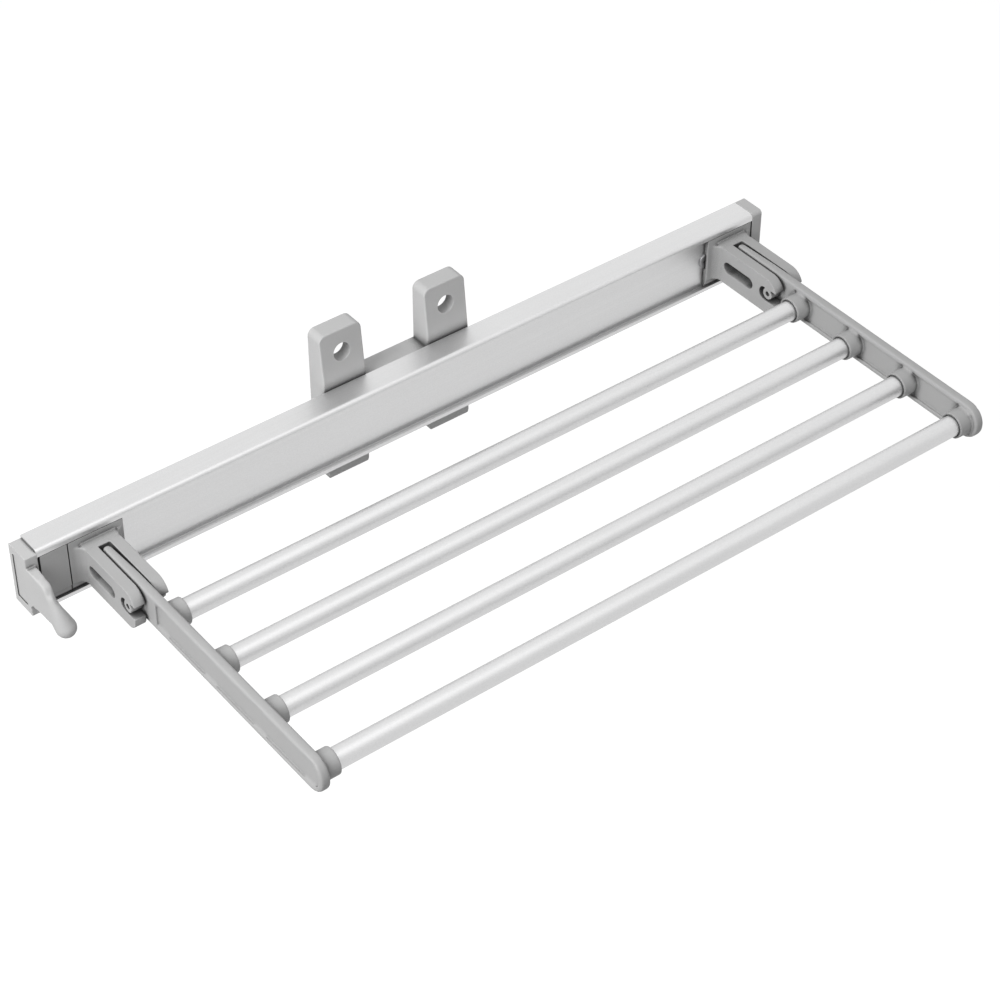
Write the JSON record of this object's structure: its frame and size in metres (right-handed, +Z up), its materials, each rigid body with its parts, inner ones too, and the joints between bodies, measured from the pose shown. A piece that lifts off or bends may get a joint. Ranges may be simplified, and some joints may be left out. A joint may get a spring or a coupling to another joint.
{
  "type": "pull-out trouser rack",
  "caption": "Trouser rack whose metal rail slides sideways on a wall bracket, with a pull lever and a frame of round rods that folds up in hinged forks.",
  "frame": {"origin": "on the wall plane, midway between the bracket's two screw holes and at their height", "axes": "+X along the rail, away from the pull lever; +Y into the wall; +Z up"},
  "size_m": [0.4998, 0.2371, 0.098],
  "materials": {
    "grey_plastic": "fine matt texture",
    "glide_plastic": "smooth sliding plastic",
    "rail_metal": "satin anodised",
    "rod_metal": "satin anodised tube",
    "screw_steel": "zinc-plated steel"
  },
  "bodies": {
    "bracket": {"wall_bracket": "grey_plastic", "glide_left": "glide_plastic", "glide_right": "glide_plastic", "glide_screws": "screw_steel"},
    "slide_rail": {"rail": "rail_metal", "end_cap_left": "grey_plastic", "end_cap_right": "grey_plastic", "filler_plate": "grey_plastic", "carriage_left": "grey_plastic", "carriage_right": "grey_plastic", "carriage_screws": "screw_steel", "stop_left": "glide_plastic", "stop_right": "glide_plastic", "hinge_pin_left": "screw_steel", "hinge_pin_right": "screw_steel"},
    "rod_frame": {"arm_left": "grey_plastic", "arm_right": "grey_plastic", "rod_1": "rod_metal", "rod_2": "rod_metal", "rod_3": "rod_metal", "rod_4": "rod_metal"}
  },
  "joints": [
    {"name": "rail_slide", "type": "slide", "parent": "bracket", "child": "slide_rail", "axis": [-1, 0, 0], "range_m": [-0.1645, 0.1585]},
    {"name": "frame_fold", "type": "hinge", "parent": "slide_rail", "child": "rod_frame", "pos_m": [0.013, -0.0759, -0.0394], "axis": [-1, 0, 0], "range_deg": [0, 114]}
  ]
}
